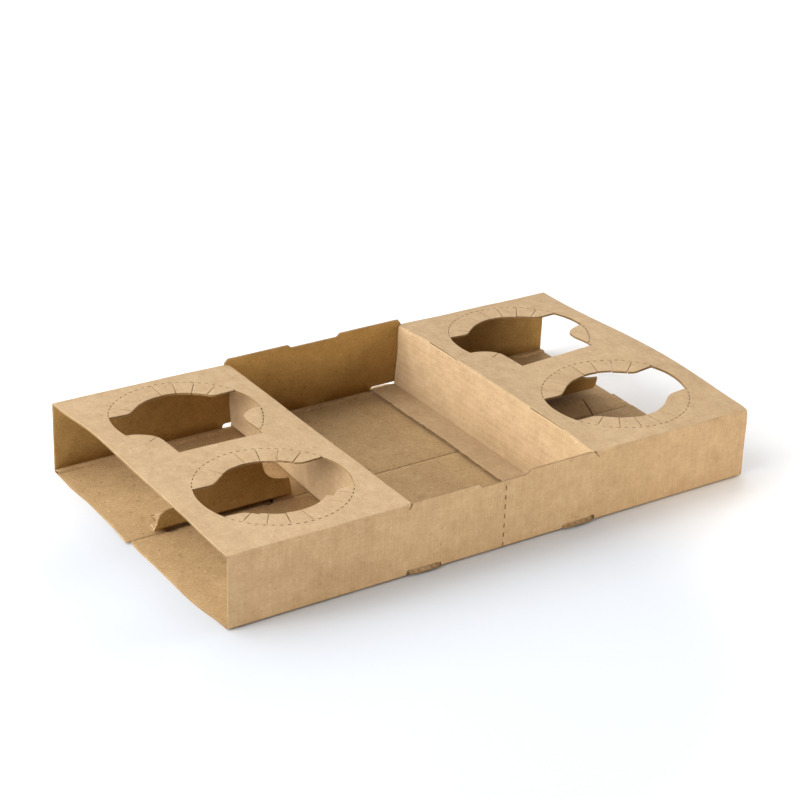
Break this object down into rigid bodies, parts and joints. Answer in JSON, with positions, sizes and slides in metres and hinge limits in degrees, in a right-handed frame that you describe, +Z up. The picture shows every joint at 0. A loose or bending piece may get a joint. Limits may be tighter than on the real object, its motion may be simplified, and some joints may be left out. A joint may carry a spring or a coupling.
{
  "type": "cup carrier tray",
  "caption": "Folded corrugated kraft board tray that carries takeaway cups in tabbed holes at both ends, with an open well between them.",
  "frame": {"origin": "middle of the resting face, under the centre of the whole tray", "axes": "+X along the length, to the right seen from the front wall; +Y from the front wall to the rear wall; +Z up"},
  "size_m": [0.3636, 0.215, 0.0484],
  "materials": {
    "kraft_outer": "uncoated kraft liner of the outer face, faint flute lines",
    "kraft_inner": "uncoated recycled liner of the inner face, speckled fibre"
  },
  "bodies": {
    "sleeve": {"front_wall": "kraft_outer", "rear_wall": "kraft_inner", "floor_front_panel": "kraft_inner", "floor_rear_panel": "kraft_inner", "deck_left": "kraft_outer", "deck_right": "kraft_outer"},
    "partition_left": {"partition_left": "kraft_outer"},
    "flange_left": {"partition_flange_left": "kraft_outer", "flange_lock_ends_left": "kraft_inner"},
    "partition_right": {"partition_right": "kraft_outer"},
    "flange_right": {"partition_flange_right": "kraft_outer", "flange_lock_ends_right": "kraft_inner"},
    "divider_left": {"divider_left": "kraft_inner"},
    "divider_foot_left": {"divider_foot_left": "kraft_inner"},
    "divider_right": {"divider_right": "kraft_inner"},
    "divider_foot_right": {"divider_foot_right": "kraft_inner"},
    "lock_flap_left": {"floor_lock_flap_left": "kraft_inner"},
    "lock_flap_right": {"floor_lock_flap_right": "kraft_inner"},
    "tabs_front_left_1": {"tabs_front_left_1": "kraft_outer"},
    "tabs_front_left_2": {"tabs_front_left_2": "kraft_outer"},
    "tabs_front_left_3": {"tabs_front_left_3": "kraft_outer"},
    "tabs_front_left_4": {"tabs_front_left_4": "kraft_outer"},
    "tabs_front_left_5": {"tabs_front_left_5": "kraft_outer"},
    "tabs_front_left_6": {"tabs_front_left_6": "kraft_outer"},
    "tabs_front_left_7": {"tabs_front_left_7": "kraft_outer"},
    "tabs_front_left_8": {"tabs_front_left_8": "kraft_outer"},
    "tabs_rear_left_1": {"tabs_rear_left_1": "kraft_outer"},
    "tabs_rear_left_2": {"tabs_rear_left_2": "kraft_outer"},
    "tabs_rear_left_3": {"tabs_rear_left_3": "kraft_outer"},
    "tabs_rear_left_4": {"tabs_rear_left_4": "kraft_outer"},
    "tabs_rear_left_5": {"tabs_rear_left_5": "kraft_outer"},
    "tabs_rear_left_6": {"tabs_rear_left_6": "kraft_outer"},
    "tabs_front_right_1": {"tabs_front_right_1": "kraft_outer"},
    "tabs_front_right_2": {"tabs_front_right_2": "kraft_outer"},
    "tabs_front_right_3": {"tabs_front_right_3": "kraft_outer"},
    "tabs_front_right_4": {"tabs_front_right_4": "kraft_outer"},
    "tabs_front_right_5": {"tabs_front_right_5": "kraft_outer"},
    "tabs_front_right_6": {"tabs_front_right_6": "kraft_outer"},
    "tabs_front_right_7": {"tabs_front_right_7": "kraft_outer"},
    "tabs_front_right_8": {"tabs_front_right_8": "kraft_outer"},
    "tabs_rear_right_1": {"tabs_rear_right_1": "kraft_outer"},
    "tabs_rear_right_2": {"tabs_rear_right_2": "kraft_outer"},
    "tabs_rear_right_3": {"tabs_rear_right_3": "kraft_outer"},
    "tabs_rear_right_4": {"tabs_rear_right_4": "kraft_outer"},
    "tabs_rear_right_5": {"tabs_rear_right_5": "kraft_outer"},
    "tabs_rear_right_6": {"tabs_rear_right_6": "kraft_outer"}
  },
  "joints": [
    {"name": "partition_left_fold", "type": "hinge", "parent": "sleeve", "child": "partition_left", "pos_m": [-0.065, 0, 0.0443], "axis": [0, -1, 0], "range_deg": [0, 84.5], "deforming": ["flange_lock_ends_left"]},
    {"name": "flange_left_fold", "type": "hinge", "parent": "partition_left", "child": "flange_left", "pos_m": [-0.06102, 0, 0.003], "axis": [0, -1, 0], "range_deg": [-84.5, 0]},
    {"name": "partition_right_fold", "type": "hinge", "parent": "sleeve", "child": "partition_right", "pos_m": [0.065, 0, 0.0443], "axis": [0, 1, 0], "range_deg": [0, 84.5], "deforming": ["flange_lock_ends_right"]},
    {"name": "flange_right_fold", "type": "hinge", "parent": "partition_right", "child": "flange_right", "pos_m": [0.06102, 0, 0.003], "axis": [0, 1, 0], "range_deg": [-84.5, 0]},
    {"name": "divider_left_fold", "type": "hinge", "parent": "sleeve", "child": "divider_left", "pos_m": [-0.1215, 0.012, 0.0443], "axis": [1, 0, 0], "range_deg": [0, 99.6]},
    {"name": "divider_foot_left_fold", "type": "hinge", "parent": "divider_left", "child": "divider_foot_left", "pos_m": [-0.1215, 0.00511, 0.00358], "axis": [1, 0, 0], "range_deg": [-99.6, 0]},
    {"name": "divider_right_fold", "type": "hinge", "parent": "sleeve", "child": "divider_right", "pos_m": [0.1215, 0.012, 0.0443], "axis": [1, 0, 0], "range_deg": [-24, 66]},
    {"name": "divider_foot_right_fold", "type": "hinge", "parent": "divider_right", "child": "divider_foot_right", "pos_m": [0.1215, 0.0288, 0.00657], "axis": [1, 0, 0], "range_deg": [-66, 24]},
    {"name": "lock_flap_left_fold", "type": "hinge", "parent": "sleeve", "child": "lock_flap_left", "pos_m": [-0.1215, 0.004, 0.0015], "axis": [-1, 0, 0], "range_deg": [-2.8, 50]},
    {"name": "lock_flap_right_fold", "type": "hinge", "parent": "sleeve", "child": "lock_flap_right", "pos_m": [0.1215, 0.004, 0.0005], "axis": [-1, 0, 0], "range_deg": [0, 50]},
    {"name": "tabs_front_left_1_fold", "type": "hinge", "parent": "sleeve", "child": "tabs_front_left_1", "pos_m": [-0.08764, -0.02002, 0.0436], "axis": [0.6232, -0.7821, 0], "range_deg": [0, 70], "stiffness_Nm_per_rad": 0.003},
    {"name": "tabs_front_left_2_fold", "type": "hinge", "parent": "sleeve", "child": "tabs_front_left_2", "pos_m": [-0.10873, -0.00562, 0.0436], "axis": [0.9555, -0.2949, 0], "range_deg": [0, 70], "stiffness_Nm_per_rad": 0.003},
    {"name": "tabs_front_left_3_fold", "type": "hinge", "parent": "sleeve", "child": "tabs_front_left_3", "pos_m": [-0.13427, -0.00562, 0.0436], "axis": [0.9555, 0.2949, 0], "range_deg": [0, 70], "stiffness_Nm_per_rad": 0.003},
    {"name": "tabs_front_left_4_fold", "type": "hinge", "parent": "sleeve", "child": "tabs_front_left_4", "pos_m": [-0.15536, -0.02002, 0.0436], "axis": [0.6232, 0.7821, 0], "range_deg": [0, 70], "stiffness_Nm_per_rad": 0.003},
    {"name": "tabs_front_left_5_fold", "type": "hinge", "parent": "sleeve", "child": "tabs_front_left_5", "pos_m": [-0.15536, -0.07398, 0.0436], "axis": [-0.6232, 0.7821, 0], "range_deg": [0, 70], "stiffness_Nm_per_rad": 0.003},
    {"name": "tabs_front_left_6_fold", "type": "hinge", "parent": "sleeve", "child": "tabs_front_left_6", "pos_m": [-0.13427, -0.08837, 0.0436], "axis": [-0.9555, 0.2949, 0], "range_deg": [0, 70], "stiffness_Nm_per_rad": 0.003},
    {"name": "tabs_front_left_7_fold", "type": "hinge", "parent": "sleeve", "child": "tabs_front_left_7", "pos_m": [-0.10873, -0.08837, 0.0436], "axis": [-0.9555, -0.2949, 0], "range_deg": [0, 70], "stiffness_Nm_per_rad": 0.003},
    {"name": "tabs_front_left_8_fold", "type": "hinge", "parent": "sleeve", "child": "tabs_front_left_8", "pos_m": [-0.08764, -0.07398, 0.0436], "axis": [-0.6232, -0.7821, 0], "range_deg": [0, 70], "stiffness_Nm_per_rad": 0.003},
    {"name": "tabs_rear_left_1_fold", "type": "hinge", "parent": "sleeve", "child": "tabs_rear_left_1", "pos_m": [-0.08764, 0.07948, 0.0436], "axis": [0.6232, -0.7821, 0], "range_deg": [0, 70], "stiffness_Nm_per_rad": 0.003},
    {"name": "tabs_rear_left_2_fold", "type": "hinge", "parent": "sleeve", "child": "tabs_rear_left_2", "pos_m": [-0.10873, 0.09388, 0.0436], "axis": [0.9555, -0.2949, 0], "range_deg": [0, 70], "stiffness_Nm_per_rad": 0.003},
    {"name": "tabs_rear_left_3_fold", "type": "hinge", "parent": "sleeve", "child": "tabs_rear_left_3", "pos_m": [-0.13427, 0.09388, 0.0436], "axis": [0.9555, 0.2949, 0], "range_deg": [0, 70], "stiffness_Nm_per_rad": 0.003},
    {"name": "tabs_rear_left_4_fold", "type": "hinge", "parent": "sleeve", "child": "tabs_rear_left_4", "pos_m": [-0.15536, 0.07948, 0.0436], "axis": [0.6232, 0.7821, 0], "range_deg": [0, 70], "stiffness_Nm_per_rad": 0.003},
    {"name": "tabs_rear_left_5_fold", "type": "hinge", "parent": "sleeve", "child": "tabs_rear_left_5", "pos_m": [-0.15814, 0.02943, 0.0436], "axis": [-0.5329, 0.8462, 0], "range_deg": [0, 70], "stiffness_Nm_per_rad": 0.003},
    {"name": "tabs_rear_left_6_fold", "type": "hinge", "parent": "sleeve", "child": "tabs_rear_left_6", "pos_m": [-0.08486, 0.02943, 0.0436], "axis": [-0.5329, -0.8462, 0], "range_deg": [0, 70], "stiffness_Nm_per_rad": 0.003},
    {"name": "tabs_front_right_1_fold", "type": "hinge", "parent": "sleeve", "child": "tabs_front_right_1", "pos_m": [0.15536, -0.02002, 0.0436], "axis": [0.6232, -0.7821, 0], "range_deg": [0, 70], "stiffness_Nm_per_rad": 0.003},
    {"name": "tabs_front_right_2_fold", "type": "hinge", "parent": "sleeve", "child": "tabs_front_right_2", "pos_m": [0.13427, -0.00562, 0.0436], "axis": [0.9555, -0.2949, 0], "range_deg": [0, 70], "stiffness_Nm_per_rad": 0.003},
    {"name": "tabs_front_right_3_fold", "type": "hinge", "parent": "sleeve", "child": "tabs_front_right_3", "pos_m": [0.10873, -0.00562, 0.0436], "axis": [0.9555, 0.2949, 0], "range_deg": [0, 70], "stiffness_Nm_per_rad": 0.003},
    {"name": "tabs_front_right_4_fold", "type": "hinge", "parent": "sleeve", "child": "tabs_front_right_4", "pos_m": [0.08764, -0.02002, 0.0436], "axis": [0.6232, 0.7821, 0], "range_deg": [0, 70], "stiffness_Nm_per_rad": 0.003},
    {"name": "tabs_front_right_5_fold", "type": "hinge", "parent": "sleeve", "child": "tabs_front_right_5", "pos_m": [0.08764, -0.07398, 0.0436], "axis": [-0.6232, 0.7821, 0], "range_deg": [0, 70], "stiffness_Nm_per_rad": 0.003},
    {"name": "tabs_front_right_6_fold", "type": "hinge", "parent": "sleeve", "child": "tabs_front_right_6", "pos_m": [0.10873, -0.08837, 0.0436], "axis": [-0.9555, 0.2949, 0], "range_deg": [0, 70], "stiffness_Nm_per_rad": 0.003},
    {"name": "tabs_front_right_7_fold", "type": "hinge", "parent": "sleeve", "child": "tabs_front_right_7", "pos_m": [0.13427, -0.08837, 0.0436], "axis": [-0.9555, -0.2949, 0], "range_deg": [0, 70], "stiffness_Nm_per_rad": 0.003},
    {"name": "tabs_front_right_8_fold", "type": "hinge", "parent": "sleeve", "child": "tabs_front_right_8", "pos_m": [0.15536, -0.07398, 0.0436], "axis": [-0.6232, -0.7821, 0], "range_deg": [0, 70], "stiffness_Nm_per_rad": 0.003},
    {"name": "tabs_rear_right_1_fold", "type": "hinge", "parent": "sleeve", "child": "tabs_rear_right_1", "pos_m": [0.15536, 0.07948, 0.0436], "axis": [0.6232, -0.7821, 0], "range_deg": [0, 70], "stiffness_Nm_per_rad": 0.003},
    {"name": "tabs_rear_right_2_fold", "type": "hinge", "parent": "sleeve", "child": "tabs_rear_right_2", "pos_m": [0.13427, 0.09388, 0.0436], "axis": [0.9555, -0.2949, 0], "range_deg": [0, 70], "stiffness_Nm_per_rad": 0.003},
    {"name": "tabs_rear_right_3_fold", "type": "hinge", "parent": "sleeve", "child": "tabs_rear_right_3", "pos_m": [0.10873, 0.09388, 0.0436], "axis": [0.9555, 0.2949, 0], "range_deg": [0, 70], "stiffness_Nm_per_rad": 0.003},
    {"name": "tabs_rear_right_4_fold", "type": "hinge", "parent": "sleeve", "child": "tabs_rear_right_4", "pos_m": [0.08764, 0.07948, 0.0436], "axis": [0.6232, 0.7821, 0], "range_deg": [0, 70], "stiffness_Nm_per_rad": 0.003},
    {"name": "tabs_rear_right_5_fold", "type": "hinge", "parent": "sleeve", "child": "tabs_rear_right_5", "pos_m": [0.08486, 0.02943, 0.0436], "axis": [-0.5329, 0.8462, 0], "range_deg": [0, 70], "stiffness_Nm_per_rad": 0.003},
    {"name": "tabs_rear_right_6_fold", "type": "hinge", "parent": "sleeve", "child": "tabs_rear_right_6", "pos_m": [0.15814, 0.02943, 0.0436], "axis": [-0.5329, -0.8462, 0], "range_deg": [0, 70], "stiffness_Nm_per_rad": 0.003}
  ],
  "couplings": [
    {"joint": "flange_left_fold", "follows": "partition_left_fold", "ratio": -1},
    {"joint": "flange_right_fold", "follows": "partition_right_fold", "ratio": -1},
    {"joint": "divider_foot_left_fold", "follows": "divider_left_fold", "ratio": -1},
    {"joint": "divider_foot_right_fold", "follows": "divider_right_fold", "ratio": -1},
    {"joint": "tabs_front_left_2_fold", "follows": "tabs_front_left_1_fold", "ratio": 1},
    {"joint": "tabs_front_left_3_fold", "follows": "tabs_front_left_1_fold", "ratio": 1},
    {"joint": "tabs_front_left_4_fold", "follows": "tabs_front_left_1_fold", "ratio": 1},
    {"joint": "tabs_front_left_5_fold", "follows": "tabs_front_left_1_fold", "ratio": 1},
    {"joint": "tabs_front_left_6_fold", "follows": "tabs_front_left_1_fold", "ratio": 1},
    {"joint": "tabs_front_left_7_fold", "follows": "tabs_front_left_1_fold", "ratio": 1},
    {"joint": "tabs_front_left_8_fold", "follows": "tabs_front_left_1_fold", "ratio": 1},
    {"joint": "tabs_rear_left_2_fold", "follows": "tabs_rear_left_1_fold", "ratio": 1},
    {"joint": "tabs_rear_left_3_fold", "follows": "tabs_rear_left_1_fold", "ratio": 1},
    {"joint": "tabs_rear_left_4_fold", "follows": "tabs_rear_left_1_fold", "ratio": 1},
    {"joint": "tabs_rear_left_5_fold", "follows": "tabs_rear_left_1_fold", "ratio": 1},
    {"joint": "tabs_rear_left_6_fold", "follows": "tabs_rear_left_1_fold", "ratio": 1},
    {"joint": "tabs_front_right_2_fold", "follows": "tabs_front_right_1_fold", "ratio": 1},
    {"joint": "tabs_front_right_3_fold", "follows": "tabs_front_right_1_fold", "ratio": 1},
    {"joint": "tabs_front_right_4_fold", "follows": "tabs_front_right_1_fold", "ratio": 1},
    {"joint": "tabs_front_right_5_fold", "follows": "tabs_front_right_1_fold", "ratio": 1},
    {"joint": "tabs_front_right_6_fold", "follows": "tabs_front_right_1_fold", "ratio": 1},
    {"joint": "tabs_front_right_7_fold", "follows": "tabs_front_right_1_fold", "ratio": 1},
    {"joint": "tabs_front_right_8_fold", "follows": "tabs_front_right_1_fold", "ratio": 1},
    {"joint": "tabs_rear_right_2_fold", "follows": "tabs_rear_right_1_fold", "ratio": 1},
    {"joint": "tabs_rear_right_3_fold", "follows": "tabs_rear_right_1_fold", "ratio": 1},
    {"joint": "tabs_rear_right_4_fold", "follows": "tabs_rear_right_1_fold", "ratio": 1},
    {"joint": "tabs_rear_right_5_fold", "follows": "tabs_rear_right_1_fold", "ratio": 1},
    {"joint": "tabs_rear_right_6_fold", "follows": "tabs_rear_right_1_fold", "ratio": 1}
  ]
}
